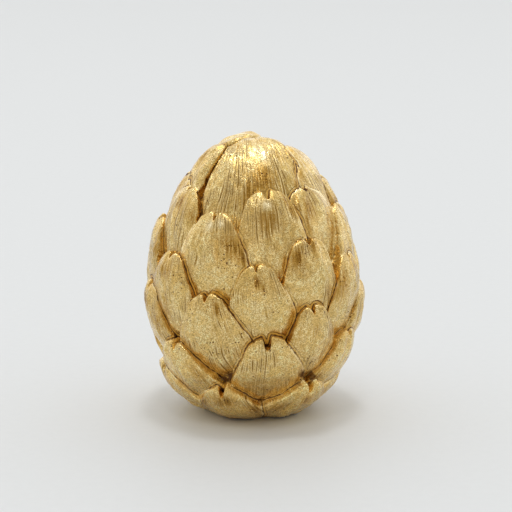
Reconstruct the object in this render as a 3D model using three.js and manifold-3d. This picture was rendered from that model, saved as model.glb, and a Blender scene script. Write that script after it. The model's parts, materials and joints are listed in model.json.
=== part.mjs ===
// An artichoke ornament, cast in one piece. Fleshy bracts with notched tips
// cover an egg-shaped body in staggered rings, and each bract overlaps the ones
// above it. Millimetres, +Z up. The origin is the middle of the flat underside.
// The front faces -Y, and angles run from the front towards +X, in degrees.

import * as THREE from 'three';
import { mergeVertices } from 'three/addons/utils/BufferGeometryUtils.js';
import Module from 'manifold-3d';

// The egg-shaped body under the bracts
const bodyHeight = 105;
const bodyRadius = 38.8;
const widestHeight = 0.43 * bodyHeight;
const footRadius = 17;
const crownPower = 1.62; // how the body closes above its widest: 2 is an ellipse, 1 a cone
const bodySides = 28;
const bodyBands = 14;
const footStub = 2; // body left below the underside, for the flat cut
const coreSunk = 2.6; // how far the body's surface lies under the roots of the bracts

// A common bract, measured along the body
const bract = {
  length: 37,
  tipHalf: 5.2, // half width across the two lobes of the tip
  fullHalf: 18, // half width where it is widest
  flare: 21, // from the tip to the full width
  notch: 3.2, // depth of the cleft between the lobes
  shoulder: 2.4, // how far the outer corners of the tip fall back
  lift: 0, // above or below the others
  lean: 0, // degrees that its root swings, to the right as one faces it
};
const cleftHalf = 0.2; // half width of the cleft, as a share of the bract's
const cleftCurve = 1.6;
const shoulderCurve = 3.5;
const flareCurve = 1.35;

// The relief of a bract over the body
const tipLift = 1.8;
const coveredLift = -0.4; // where the tip of the bract two rings below lies on it
const coveredShare = 0.78; // of its length, from its own tip to that place
const belly = 2.7;
const bellyCurve = 0.62; // under 1, the belly is fullest near the tip
const crown = 1.6; // fall of the surface from the middle line to the sides
const crownCurve = 2.2;
const crownStart = 8; // from the tip to where the sides have fallen in full
const tuck = 3.0; // how steeply the covered root dives into the body
const roundedRim = 0.6; // the edge is lower than the surface just inside it
const rootDepth = 4.5; // the underside of a bract, inside the body

// Rings from the foot up: tip height as a share of the body's, number of
// bracts, and the angle of the first. No two bracts were modelled alike, so
// each ring says which ones stray from the even spacing, by how many degrees
// and up by what share of the height, and where their shape is their own.
const rings = [
  {
    tip: 0.181,
    count: 7,
    turn: 34,
    strays: {
      0: { by: 5.5, up: -0.004, notch: 4.2 },
      1: { by: -6, up: -0.005, lift: -0.8 },
      2: { by: 3, lift: -0.5 },
      5: { by: 0.5, up: 0.033, lift: 0.6, lean: -12, fullHalf: 17 },
      6: { by: -3, up: -0.004, lift: 0.2, tipHalf: 4.6, notch: 4.2, shoulder: 3.6, fullHalf: 15.5 },
    },
  },
  {
    tip: 0.338,
    count: 7,
    turn: 7,
    strays: {
      0: { up: 0.032, notch: 4.2, tipHalf: 6.4, fullHalf: 16, lean: 6 },
      1: { by: 6, up: 0.005, fullHalf: 15.5 },
      3: { by: -4, lean: 5 },
      5: { by: -8, lift: -0.9 },
      6: { by: -3.5, up: -0.014, lean: -3 },
    },
  },
  {
    tip: 0.495,
    count: 7,
    turn: 31,
    strays: {
      0: { by: 1, up: -0.026, lean: 6, fullHalf: 14.3 },
      1: { by: 4, up: -0.009, lift: 0.2 },
      2: { by: 5, up: 0.012, lean: -4 },
      5: { up: 0.01, lean: -7 },
      6: { by: -5.5, up: 0.018, lean: 6 },
    },
  },
  {
    tip: 0.62,
    count: 7,
    turn: 2,
    strays: {
      0: { by: -1, up: -0.006, lean: 8, fullHalf: 16.5 },
      1: { by: 14, up: -0.008 },
      3: { by: 4, up: -0.012 },
      4: { by: -3, up: 0.01, lean: -4 },
      6: { by: -4, up: 0.008 },
    },
  },
  {
    tip: 0.752,
    count: 7,
    turn: 30,
    strays: {
      0: { by: 4.2, up: -0.064, tipHalf: 6.4, fullHalf: 16.4 },
      1: { by: 2, up: 0.016, length: 45, lift: -0.2, lean: 3, fullHalf: 20.5 },
      3: { by: -5, up: 0.014 },
      5: { by: -11.5, up: -0.038, lift: 0.6, lean: -9 },
      6: { by: -4.5, up: 0.024, notch: 4.4, fullHalf: 19.5 },
    },
  },
  {
    tip: 0.85,
    count: 8,
    turn: 11,
    strays: {
      0: { by: -1.5, up: -0.004, tipHalf: 6.4, notch: 4.6, lean: 6 },
      1: { by: -10.5, up: 0.01, lift: -1.6, lean: 9, fullHalf: 24 },
      2: { by: -8, up: 0.002, lift: -0.5, lean: 14, fullHalf: 12 },
      4: { by: -4, up: 0.012, lean: -5 },
      6: { by: -3, up: 0.03, lift: -0.8 },
      7: { by: -26, up: -0.012 },
    },
  },
  {
    tip: 0.969,
    count: 4,
    turn: -64,
    strays: {
      0: { lean: -12, lift: 0.1, fullHalf: 11.3 },
      1: { by: 54.5, lift: -0.9, length: 46, fullHalf: 22.5 },
      2: { by: 40, up: -0.008, lift: -0.5 },
      3: { by: 2, up: -0.004 },
    },
    shape: { tipHalf: 3, fullHalf: 12.5, notch: 1.5, lift: 0.6 },
  },
];

// The innermost bracts close the top: the broad bud in front, whose tip stops
// short of the middle, one at the back, and the last, whose tip lies past it
const innermost = [
  { angle: 12, past: -2.2, length: 54, tipHalf: 8, fullHalf: 30, flare: 24, notch: 2, lift: -1.1 },
  { angle: 122, past: -0.5, length: 47, tipHalf: 6, fullHalf: 20, flare: 22, notch: 1, lift: -2.8 },
  { angle: -130, past: 0.6, length: 40, tipHalf: 4.5, fullHalf: 19, flare: 18, notch: 0.8, lift: -1.2 },
];

// Columns from the middle line to the side, and rows from the tip to the root
const halfColumns = [0, 0.22, 0.52, 0.86, 1];
const rows = [0, 0.05, 0.17, 0.35, 0.57, 0.8, 1];

const gold = new THREE.MeshStandardMaterial({ color: 0xb59560, roughness: 0.42, metalness: 0.9 });

function profileRadius(z) {
  if (z < widestHeight) {
    const halfAxis = widestHeight / Math.sqrt(1 - (footRadius / bodyRadius) ** 2);
    return bodyRadius * Math.sqrt(Math.max(1 - ((z - widestHeight) / halfAxis) ** 2, 0));
  }
  const rise = Math.min((z - widestHeight) / (bodyHeight - widestHeight), 1);
  return bodyRadius * Math.sqrt(1 - rise ** crownPower);
}

// The meridian runs from the top down the side and in under the foot. Its
// length is wrapped on half a circle, so that bracts are laid out on a sphere.
function traceMeridian(steps = 600) {
  const points = [{ along: 0, radius: 0, z: bodyHeight }];
  for (let i = 1; i <= steps; i++) {
    const z = bodyHeight * (1 + Math.cos((Math.PI * i) / steps)) / 2;
    const radius = profileRadius(z);
    const last = points[i - 1];
    const along = last.along + Math.hypot(radius - last.radius, z - last.z);
    points.push({ along, radius, z });
  }
  const foot = points[steps];
  points.push({ along: foot.along + foot.radius, radius: 0, z: 0 });
  return points;
}

const meridian = traceMeridian();
const wrapRadius = meridian[meridian.length - 1].along / Math.PI;

function meridianWhere(isReached) {
  const next = Math.max(meridian.findIndex(isReached), 1);
  return [meridian[next - 1], meridian[next]];
}

function meridianAt(along) {
  const [a, b] = meridianWhere((point) => point.along >= along);
  return {
    radius: THREE.MathUtils.mapLinear(along, a.along, b.along, a.radius, b.radius),
    z: THREE.MathUtils.mapLinear(along, a.along, b.along, a.z, b.z),
  };
}

// The angle from the top, on the sphere of layout, of a height on the side
function wrapAngle(z) {
  const [a, b] = meridianWhere((point) => point.z <= z);
  return THREE.MathUtils.mapLinear(z, a.z, b.z, a.along, b.along) / wrapRadius;
}

// A point over the body: its place on the sphere of layout, and its lift
// outwards from the middle of the body
function overBody(direction, lift) {
  const fromTop = Math.acos(THREE.MathUtils.clamp(direction.z, -1, 1));
  const { radius, z } = meridianAt(fromTop * wrapRadius);
  const flat = new THREE.Vector3(direction.x, direction.y, 0).normalize();
  const middle = new THREE.Vector3(0, 0, widestHeight);
  const point = flat.multiplyScalar(radius).setZ(z);
  const outwards = point.clone().sub(middle).normalize();
  return point.addScaledVector(outwards, lift);
}

function halfWidth(shape, down) {
  const share = THREE.MathUtils.clamp(down / shape.flare, 0, 1);
  return shape.tipHalf + (shape.fullHalf - shape.tipHalf) * (1 - (1 - share) ** flareCurve);
}

// Where the top edge lies below the tip's level: a cleft in the middle and
// rounded outer corners
function topEdge(shape, across) {
  const cleft = shape.notch * Math.exp(-((Math.abs(across) / cleftHalf) ** cleftCurve));
  return cleft + shape.shoulder * Math.abs(across) ** shoulderCurve;
}

// How far a bract's surface stands over the body, at a place across it from
// -1 to 1, down from its tip and in from its edge
function bractLift(shape, across, down, fromEdge) {
  const share = down / (coveredShare * shape.length);
  const swell = belly * Math.sin(Math.PI * share ** bellyCurve);
  const fallen = 0.35 + 0.65 * Math.min(down / crownStart, 1);
  const sides = crown * fallen * Math.abs(across) ** crownCurve;
  const root = tuck * Math.max(share - 1, 0);
  const rim = roundedRim * Math.exp(-fromEdge);
  return shape.lift + tipLift + (coveredLift - tipLift) * share + swell - sides - root - rim;
}

// A closed grid: its outer sheet is the bract, and its inner one lies inside
// the body
function bractGeometry(shape) {
  const fromTop = 'past' in shape ? -shape.past / wrapRadius : wrapAngle(shape.tip * bodyHeight);
  const tip = new THREE.Vector3(0, 0, 1);
  const down = new THREE.Vector3(0, -1, 0);
  const side = new THREE.Vector3(1, 0, 0);
  const tilt = new THREE.Quaternion().setFromAxisAngle(side, fromTop);
  const turn = new THREE.Quaternion().setFromAxisAngle(tip.clone(), THREE.MathUtils.degToRad(shape.angle));
  const lean = new THREE.Quaternion().setFromAxisAngle(tip.clone(), THREE.MathUtils.degToRad(shape.lean));
  for (const axis of [tip, down, side]) {
    axis.applyQuaternion(lean).applyQuaternion(tilt).applyQuaternion(turn);
  }

  const columns = [...halfColumns.slice(1).reverse().map((share) => -share), ...halfColumns];
  const width = columns.length;
  const outer = [];
  const inner = [];
  for (const row of rows) {
    for (const across of columns) {
      const edge = topEdge(shape, across);
      const along = edge + (shape.length - edge) * row;
      const offset = across * halfWidth(shape, along);
      const direction = new THREE.Vector3()
        .addScaledVector(tip, Math.cos(along / wrapRadius))
        .addScaledVector(down, Math.sin(along / wrapRadius))
        .multiplyScalar(Math.cos(offset / wrapRadius))
        .addScaledVector(side, Math.sin(offset / wrapRadius));
      const fromEdge = Math.min(along - edge, (1 - Math.abs(across)) * halfWidth(shape, along));
      outer.push(...overBody(direction, bractLift(shape, across, along, fromEdge)).toArray());
      inner.push(...overBody(direction, -rootDepth).toArray());
    }
  }

  const faces = [];
  const count = width * rows.length;
  for (let row = 0; row + 1 < rows.length; row++) {
    for (let column = 0; column + 1 < width; column++) {
      const a = row * width + column;
      const [b, c, d] = [a + 1, a + width, a + width + 1];
      const leansLeft = column < (width - 1) / 2;
      faces.push(...(leansLeft ? [a, c, b, b, c, d] : [a, c, d, a, d, b]));
      const [e, f, g, h] = [a, b, c, d].map((corner) => corner + count);
      faces.push(e, f, g, f, h, g);
    }
  }
  const rim = [];
  for (let column = 0; column < width; column++) rim.push(column);
  for (let row = 1; row < rows.length; row++) rim.push(row * width + width - 1);
  for (let column = width - 2; column >= 0; column--) rim.push((rows.length - 1) * width + column);
  for (let row = rows.length - 2; row > 0; row--) rim.push(row * width);
  rim.forEach((a, i) => {
    const b = rim[(i + 1) % rim.length];
    faces.push(a, b, a + count, b, b + count, a + count);
  });

  const geometry = new THREE.BufferGeometry();
  geometry.setAttribute('position', new THREE.Float32BufferAttribute([...outer, ...inner], 3));
  geometry.setIndex(faces);
  return geometry;
}

function bodyGeometry() {
  const profile = [new THREE.Vector2(0, -footStub), new THREE.Vector2(footRadius, -footStub)];
  profile.push(new THREE.Vector2(footRadius, 0));
  const middle = new THREE.Vector2(0, widestHeight);
  for (let i = 1; i < bodyBands; i++) {
    const z = bodyHeight * (1 - Math.cos((Math.PI * i) / bodyBands)) / 2;
    const place = new THREE.Vector2(profileRadius(z), z);
    const inwards = middle.clone().sub(place).normalize();
    profile.push(place.addScaledVector(inwards, coreSunk));
  }
  profile.push(new THREE.Vector2(0, bodyHeight - coreSunk));
  return new THREE.LatheGeometry(profile, bodySides).rotateX(Math.PI / 2);
}

function allBracts() {
  const shapes = innermost.map((own) => ({ ...bract, ...own }));
  for (const ring of rings) {
    for (let i = 0; i < ring.count; i++) {
      const { by = 0, up = 0, ...own } = ring.strays[i] ?? {};
      const angle = ring.turn + (360 / ring.count) * i + by;
      shapes.push({ ...bract, ...ring.shape, ...own, angle, tip: ring.tip + up });
    }
  }
  return shapes;
}

const wasm = await Module();
wasm.setup();

function toSolid(geometry) {
  geometry.deleteAttribute('normal');
  geometry.deleteAttribute('uv');
  const merged = mergeVertices(geometry, 1e-4);
  return new wasm.Manifold(new wasm.Mesh({
    numProp: 3,
    vertProperties: new Float32Array(merged.attributes.position.array),
    triVerts: new Uint32Array(merged.index.array),
  }));
}

function toGeometry(solid) {
  const { vertProperties, triVerts } = solid.getMesh();
  const geometry = new THREE.BufferGeometry();
  geometry.setAttribute('position', new THREE.BufferAttribute(vertProperties, 3));
  geometry.setIndex(new THREE.BufferAttribute(triVerts, 1));
  geometry.computeVertexNormals();
  return geometry;
}

// Everything under the plane that the ornament stands on
function belowGround() {
  const span = 4 * (bodyRadius + bodyHeight);
  return new THREE.BoxGeometry(span, span, span).translate(0, 0, -span / 2);
}

const joined = allBracts()
  .map((shape) => toSolid(bractGeometry(shape)))
  .reduce((whole, solid) => whole.add(solid), toSolid(bodyGeometry()));
const casting = joined.subtract(toSolid(belowGround()));

const artichoke = new THREE.Mesh(toGeometry(casting), gold);
artichoke.name = 'artichoke';

const group = new THREE.Group();
group.add(artichoke);

export default group;
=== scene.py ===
# Artichoke ornament in antique gold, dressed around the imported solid.
# Sizes are in millimetres until a mesh is finished, then in metres.
import json
import math
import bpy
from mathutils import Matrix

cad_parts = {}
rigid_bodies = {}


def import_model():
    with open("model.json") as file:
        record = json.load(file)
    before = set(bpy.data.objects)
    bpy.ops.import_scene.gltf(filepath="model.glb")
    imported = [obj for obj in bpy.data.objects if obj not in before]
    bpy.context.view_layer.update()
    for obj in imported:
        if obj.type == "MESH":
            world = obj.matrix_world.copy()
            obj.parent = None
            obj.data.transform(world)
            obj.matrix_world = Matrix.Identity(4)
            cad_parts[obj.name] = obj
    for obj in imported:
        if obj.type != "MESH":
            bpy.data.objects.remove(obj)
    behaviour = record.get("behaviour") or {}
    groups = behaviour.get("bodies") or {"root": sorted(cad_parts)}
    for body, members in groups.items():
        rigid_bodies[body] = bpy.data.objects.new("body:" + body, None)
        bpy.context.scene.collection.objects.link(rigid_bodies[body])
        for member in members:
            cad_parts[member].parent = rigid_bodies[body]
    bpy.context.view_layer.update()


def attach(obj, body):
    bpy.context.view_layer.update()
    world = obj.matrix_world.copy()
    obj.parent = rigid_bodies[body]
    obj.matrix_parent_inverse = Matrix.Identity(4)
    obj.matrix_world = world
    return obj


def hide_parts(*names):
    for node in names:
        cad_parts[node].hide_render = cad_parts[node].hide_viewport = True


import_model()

from types import SimpleNamespace

import bmesh
import bpy
import numpy as np
from mathutils import Vector
from mathutils.bvhtree import BVHTree
from mathutils.kdtree import KDTree

mm = 0.001

# The body and its bracts have the same sizes as the solid
casting = {
    "bodyHeight": 105.0,
    "bodyRadius": 38.8,
    "widestShare": 0.43,  # how far up the body is widest
    "footRadius": 17.0,
    "crownPower": 1.62,
    "footStub": 2.0,  # the body reaches this far under the floor until it is cut flat
    "coreSunk": 2.6,  # the body lies this much under the bracts' roots
    "cleftHalf": 0.2,  # half width of a notch, as a share of the bract's
    "cleftCurve": 1.6,
    "shoulderCurve": 3.5,
    "flareCurve": 1.35,
    "tipLift": 1.8,  # how far a bract stands off the body at its tip
    "coveredLift": -0.4,  # and where other bracts cover it
    "coveredShare": 0.78,
    "belly": 2.7,
    "bellyCurve": 0.62,
    "crown": 1.6,  # how far a bract's sides fall below its middle
    "crownAtTip": 0.35,  # the share of that fall at its tip
    "crownCurve": 2.2,
    "crownStart": 8.0,
    "tuck": 3.0,
    "rootDepth": 4.5,
}
commonBract = {
    "length": 37.0, "tipHalf": 5.2, "fullHalf": 18.0, "flare": 21.0,
    "notch": 3.2, "shoulder": 2.4, "lift": 0.0, "lean": 0.0,
}
# Rings from the foot up: the tips' height as a share of the body's, the number of bracts and
# the ring's turn in degrees. Strays are the bracts off the even spacing: by and lean are in
# degrees, up is added to the tip, and left, right and top run from 0, melted into what lies
# beside that edge, to 1, standing clear of it. A knob has its place across and down, its half
# width, its half length and its height.
rings = [
    {"tip": 0.181, "count": 7, "turn": 34, "strays": {
        0: {"by": 5.5, "up": -0.004, "notch": 4.2, "left": 0.6, "right": 0.05, "top": 0.4},
        1: {"by": -6, "up": -0.005, "lift": -0.8},
        2: {"by": 3, "lift": -0.5},
        5: {"by": 0.5, "up": 0.033, "lift": 0.6, "lean": -12, "fullHalf": 17, "right": 0.8},
        6: {"by": -3, "up": -0.004, "lift": 0.2, "tipHalf": 4.6, "fullHalf": 15.5, "notch": 4.2,
            "shoulder": 3.6, "left": 0.05, "right": 0.75, "top": 0.6},
    }},
    {"tip": 0.338, "count": 7, "turn": 7, "strays": {
        0: {"up": 0.032, "tipHalf": 6.4, "fullHalf": 16, "notch": 4.2, "cleftCurve": 3, "lean": 6,
            "left": 0.45, "right": 0.35, "top": 0.9},
        1: {"by": 6, "up": 0.005, "fullHalf": 15.5, "left": 1, "top": 0.8},
        3: {"by": -4, "lean": 5},
        5: {"by": -8, "lift": -0.9},
        6: {"by": -3.5, "up": -0.014, "lean": -3, "left": 0.1, "right": 1, "top": 0.7},
    }},
    {"tip": 0.495, "count": 7, "turn": 31, "strays": {
        0: {"by": 1, "up": -0.026, "lean": 6, "fullHalf": 14.3,
            "left": 0.75, "right": 0.2, "top": 0.9},
        1: {"by": 4, "up": -0.009, "lift": 0.2, "left": 0.7},
        2: {"by": 5, "up": 0.012, "lean": -4},
        5: {"up": 0.01, "lean": -7, "right": 0.9},
        6: {"by": -5.5, "up": 0.018, "lean": 6, "left": 0, "right": 0.8, "top": 0.7},
    }},
    {"tip": 0.62, "count": 7, "turn": 2, "strays": {
        0: {"by": -1, "up": -0.006, "lean": 8, "fullHalf": 16.5, "cleftHalf": 0.13,
            "knob": (0.4, 2.6, 0.7, 1.2, 0.9), "left": 0.5, "right": 0.35, "top": 0.4},
        1: {"by": 14, "up": -0.008, "left": 1, "top": 0.4},
        3: {"by": 4, "up": -0.012},
        4: {"by": -3, "up": 0.01, "lean": -4},
        6: {"by": -4, "up": 0.008, "left": 0.15, "right": 1, "top": 0.6},
    }},
    {"tip": 0.752, "count": 7, "turn": 30, "strays": {
        0: {"by": 4.2, "up": -0.064, "tipHalf": 6.4, "fullHalf": 16.4,
            "left": 0.6, "right": 0.2, "top": 0.4},
        1: {"by": 2, "up": 0.016, "length": 45, "fullHalf": 20.5, "lift": -0.2, "lean": 3,
            "left": 0.15, "top": 0.3},
        3: {"by": -5, "up": 0.014},
        5: {"by": -11.5, "up": -0.038, "lift": 0.6, "lean": -9, "right": 0.9},
        6: {"by": -4.5, "up": 0.024, "fullHalf": 19.5, "notch": 4.4, "cleftHalf": 0.13,
            "left": 0.05, "right": 0.6, "top": 0.3},
    }},
    {"tip": 0.85, "count": 8, "turn": 11, "strays": {
        0: {"by": -1.5, "up": -0.004, "tipHalf": 6.4, "notch": 4.6, "cleftCurve": 3, "lean": 6,
            "left": 0.3, "right": 0.75, "top": 0.5},
        1: {"by": -10.5, "up": 0.01, "fullHalf": 24, "lift": -1.6, "lean": 9,
            "left": 0.6, "right": 0.1, "top": 0.5},
        2: {"by": -8, "up": 0.002, "lift": -0.5, "lean": 14, "fullHalf": 12, "left": 0.6},
        4: {"by": -4, "up": 0.012, "lean": -5},
        6: {"by": -3, "up": 0.03, "lift": -0.8},
        7: {"by": -26, "up": -0.012, "left": 0.1, "right": 1, "top": 0.25},
    }},
    {"tip": 0.969, "count": 4, "turn": -64, "strays": {
        0: {"lean": -12, "lift": 0.1, "fullHalf": 11.3, "left": 0.5, "right": 0.9},
        1: {"by": 54.5, "lift": -0.9, "length": 46, "fullHalf": 22.5, "left": 1.2, "right": 0.3},
        2: {"by": 40, "up": -0.008, "lift": -0.5},
        3: {"by": 2, "up": -0.004},
    }, "shape": {"tipHalf": 3.0, "fullHalf": 12.5, "notch": 1.5, "lift": 0.6}},
]
# The three that close the top: past is how far a tip lies beyond the middle, flutes how deep
# a bract's lengthwise folds are, and raysFrom how far above its tip its lines meet
innermost = [
    {"angle": 12, "past": -2.2, "length": 54, "tipHalf": 8, "fullHalf": 30, "flare": 24,
     "notch": 2, "lift": -1.1, "flutes": 0.2, "raysFrom": 14},
    {"angle": 122, "past": -0.5, "length": 47, "tipHalf": 6, "fullHalf": 20, "flare": 22,
     "notch": 1, "lift": -2.8, "left": 0.1, "top": 0.2},
    {"angle": -130, "past": 0.6, "length": 40, "tipHalf": 4.5, "fullHalf": 19, "flare": 18,
     "notch": 0.8, "lift": -1.2},
]

# What the carver's tool left on each bract
tooling = {
    "seed": 41,
    "columns": 70,
    "rows": 32,
    "budColumns": 104,
    "budRows": 46,
    "bodySegments": 64,
    "bodyRings": 48,
    "edgeCrowding": 0.35,  # how much closer the grid's columns are at the sides
    "rowCurve": 1.5,  # and its rows at the tip
    "layStep": 8,  # in centimetres, from one bract's map to the next
    "rimRadius": 0.85,  # roundness of the lip
    "rimDrop": 0.55,
    "undercut": 0.9,  # how far the wall under the lip leans in
    "plainRim": 1.5,  # the marks fade out this close to the edge
    "undulation": 0.3,
    "undulationPitch": 8.0,
    "dents": 0.14,
    "dentPitch": 3.6,
    "wobble": 0.25,  # unevenness of the outline
    "tipWobblePitch": 3.2,
    "sideWobblePitch": 5.0,
    "fanWidth": 16.0,  # half width at which the grooves lie at their true pitch
    "raysTrueAt": 25,  # how far down they do on the bud, where they run out from a point
    "fluteReach": 20,
    "groovePatches": 4,
    "patchStart": (1, 12),  # how far down a patch of grooves starts, and its length
    "patchLength": (9, 20),
    "patchStrength": (0.3, 1.0),
    "groovesEach": (3, 7),
    "groovePitch": 1.35,
    "grooveDepth": 0.2,
    "grooveWidth": 0.4,
    "ownStains": [(0, 7), (-12, 11), (12, 11), (0, 22)],  # across and down a bract
    "ownCombs": [(-3, 8), (6, 14), (-7, 20), (8, 26)],
    "ownHalf": (1.4, 3.6),  # half width and half length of such a stain or combed place
    "ownStrength": (-0.5, 0.8),  # none where it is under 0
}
# Where the glaze was left on thick, where the surface was combed, and where a painted
# highlight goes: bract number, place across and down it in mm, half width and half length in
# mm, and strength. The middles of stains listed over full strength are painted shade in gaps
stainsAndGapShade = [
    (0, -1.2, 23.6, 3.4, 3.2, 1.0),
    (0, -6.0, 27.0, 2.4, 3.4, 0.7),
    (0, 14.2, 25.0, 1.6, 2.0, 0.9),
    (38, -1.4, 11.9, 3.2, 2.8, 0.4),
    (37, 10.8, 12.4, 3.8, 2.8, 0.9),
    (37, 14.3, 15.0, 1.8, 2.4, 0.8),
    (31, -8.0, 6.8, 2.4, 2.6, 0.9),
    (31, 2.0, 2.4, 1.5, 2.4, 0.9),
    (24, -0.3, 6.8, 1.3, 1.6, 1.0),
    (24, 2.4, 9.0, 0.6, 0.9, 1.0),
    (23, 6.7, 5.4, 1.2, 1.6, 0.6),
    (39, -8.4, 6.1, 0.9, 3.0, 1.0),
    (39, -3.2, 10.3, 2.4, 2.8, 0.6),
    (39, -5.6, 13.8, 0.9, 3.0, 0.5),
    (10, -2.0, 24.0, 11.0, 4.0, 0.3),
    (10, 14.6, 22.0, 2.0, 3.0, 1.8),
    (11, -15.0, 19.6, 2.2, 2.6, 1.8),
    (38, 9.2, 5.4, 0.7, 1.6, 1.5),
    (38, 10.8, 8.2, 0.7, 1.8, 1.5),
]
combs = [
    (0, -13.0, 26.0, 7.0, 10.0, 1.0),
    (0, 7.0, 20.0, 4.5, 9.0, 1.0),
    (38, -2.0, 14.0, 5.5, 6.0, 1.0),
    (37, 6.0, 6.0, 6.0, 3.0, 0.8),
    (31, -4.0, 4.0, 4.0, 3.0, 0.8),
    (39, 3.0, 8.0, 5.0, 4.0, 1.0),
    (24, 9.0, 8.0, 3.0, 5.0, 0.6),
    (23, 6.0, 8.0, 3.0, 5.0, 0.6),
    (23, 3.0, 28.0, 6.0, 7.0, 1.0),
    (45, 4.0, 14.0, 4.0, 8.0, 0.6),
    (10, 7.0, 20.0, 3.0, 5.0, 0.3),
    (17, 6.0, 20.0, 3.0, 6.0, 0.4),
]
# Painted highlights
rubs = [
    (0, -1.6, 12.6, 2.6, 2.4, 0.5),
    (0, 0.4, 15.2, 1.6, 2.4, 0.8),
    (38, -0.9, 7.0, 2.2, 1.6, 1.0),
    (37, -1.4, 6.4, 2.0, 1.7, 0.8),
    (37, 4.6, 5.2, 1.7, 1.5, 0.8),
]


def profileRadius(z):
    widest = casting["widestShare"] * casting["bodyHeight"]
    halfAxis = widest / math.sqrt(1 - (casting["footRadius"] / casting["bodyRadius"]) ** 2)
    below = np.sqrt(np.maximum(1 - ((z - widest) / halfAxis) ** 2, 0))
    rise = np.clip((z - widest) / (casting["bodyHeight"] - widest), 0, 1)
    above = np.sqrt(1 - rise ** casting["crownPower"])
    return casting["bodyRadius"] * np.where(z < widest, below, above)


def traceMeridian(steps=600):
    # From the top down the side and in under the foot: length along, radius, height
    z = casting["bodyHeight"] * (1 + np.cos(np.pi * np.arange(steps + 1) / steps)) / 2
    radius = profileRadius(z)
    radius[0] = 0
    along = np.concatenate([[0], np.cumsum(np.hypot(np.diff(radius), np.diff(z)))])
    return np.append(along, along[-1] + radius[-1]), np.append(radius, 0), np.append(z, 0)


meridianAlong, meridianRadius, meridianZ = traceMeridian()
wrapRadius = meridianAlong[-1] / math.pi
widestZ = casting["widestShare"] * casting["bodyHeight"]


def wrapAngle(z):
    return np.interp(-z, -meridianZ, meridianAlong) / wrapRadius


def overBody(direction, lift):
    along = np.arccos(np.clip(direction[:, 2], -1, 1)) * wrapRadius
    flat = direction[:, :2] / np.maximum(np.linalg.norm(direction[:, :2], axis=1), 1e-9)[:, None]
    point = np.column_stack([
        flat * np.interp(along, meridianAlong, meridianRadius)[:, None],
        np.interp(along, meridianAlong, meridianZ),
    ])
    outwards = point - [0, 0, widestZ]
    outwards /= np.linalg.norm(outwards, axis=1)[:, None]
    return point + outwards * lift[:, None]


def halfWidth(shape, down):
    share = 1 - np.clip(down / shape["flare"], 0, 1)
    gain = shape["fullHalf"] - shape["tipHalf"]
    return shape["tipHalf"] + gain * (1 - share ** casting["flareCurve"])


def topEdge(shape, across):
    reach = np.abs(across)
    width = shape.get("cleftHalf", casting["cleftHalf"])
    curve = shape.get("cleftCurve", casting["cleftCurve"])
    cleft = shape["notch"] * np.exp(-((reach / width) ** curve))
    return cleft + shape["shoulder"] * reach ** casting["shoulderCurve"]


def bractLift(shape, across, down):
    share = down / (casting["coveredShare"] * shape["length"])
    swell = casting["belly"] * np.sin(np.pi * np.maximum(share, 0) ** casting["bellyCurve"])
    start = casting["crownAtTip"]
    fallen = start + (1 - start) * np.minimum(down / casting["crownStart"], 1)
    sides = casting["crown"] * fallen * np.abs(across) ** casting["crownCurve"]
    root = casting["tuck"] * np.maximum(share - 1, 0)
    slope = (casting["coveredLift"] - casting["tipLift"]) * share
    return shape["lift"] + casting["tipLift"] + slope + swell - sides - root


def softNoise(rng, x, y, pitch):
    # Five waves in random directions: smooth, seeded and cheap
    total = np.zeros_like(x)
    for _ in range(5):
        angle, phase = rng.uniform(0, 2 * math.pi, 2)
        wave = 2 * math.pi / (pitch * rng.uniform(0.75, 1.5))
        total += np.sin((x * math.cos(angle) + y * math.sin(angle)) * wave + phase)
    return total / 3.2  # they seldom add up to more


def grooves(rng, shape, fan, down):
    # Combed patches: a few incised lines side by side, fanning out from the tip
    relief = np.zeros_like(fan)
    reach = shape["fullHalf"] * 0.9
    for _ in range(tooling["groovePatches"]):
        place = rng.uniform(-reach, reach * 0.6)
        patchStart = rng.uniform(*tooling["patchStart"])
        patchLength = rng.uniform(*tooling["patchLength"])
        strength = rng.uniform(*tooling["patchStrength"])
        for _ in range(rng.integers(*tooling["groovesEach"])):
            place += tooling["groovePitch"] * rng.uniform(0.7, 1.4)
            start = patchStart + rng.uniform(-2, 2)
            end = start + patchLength * rng.uniform(0.6, 1.1)
            depth = tooling["grooveDepth"] * strength * rng.uniform(0.4, 1.0)
            width = tooling["grooveWidth"] * rng.uniform(0.8, 1.2)
            line = place + rng.uniform(-0.4, 0.4) * np.sin(down / 6 + rng.uniform(0, 6))
            shown = np.clip((down - start) / 2.5, 0, 1) * np.clip((end - down) / 5, 0, 1)
            relief -= depth * shown * np.exp(-(((fan - line) / width) ** 2))
    return relief


def patchMask(rng, listed, number, spots, fan, down):
    # The patches listed for this bract, or else a few of its own near the given spots
    own = []
    for a, d in spots:
        a, d = a + rng.uniform(-1.5, 1.5), d + rng.uniform(-2, 2)
        half = rng.uniform(*tooling["ownHalf"], 2)
        own.append((number, a, d, *half, rng.uniform(*tooling["ownStrength"])))
    mask = np.zeros_like(fan)
    for _, a, d, wide, long, strength in [p for p in listed if p[0] == number] or own:
        patch = np.exp(-(((fan - a) / wide) ** 2) - ((down - d) / long) ** 2)
        mask = np.maximum(mask, strength * patch)
    return mask


def rotation(axis, angle):
    c, s = math.cos(angle), math.sin(angle)
    if axis == "X":
        return np.array([[1, 0, 0], [0, c, -s], [0, s, c]])
    return np.array([[c, -s, 0], [s, c, 0], [0, 0, 1]])


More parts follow.
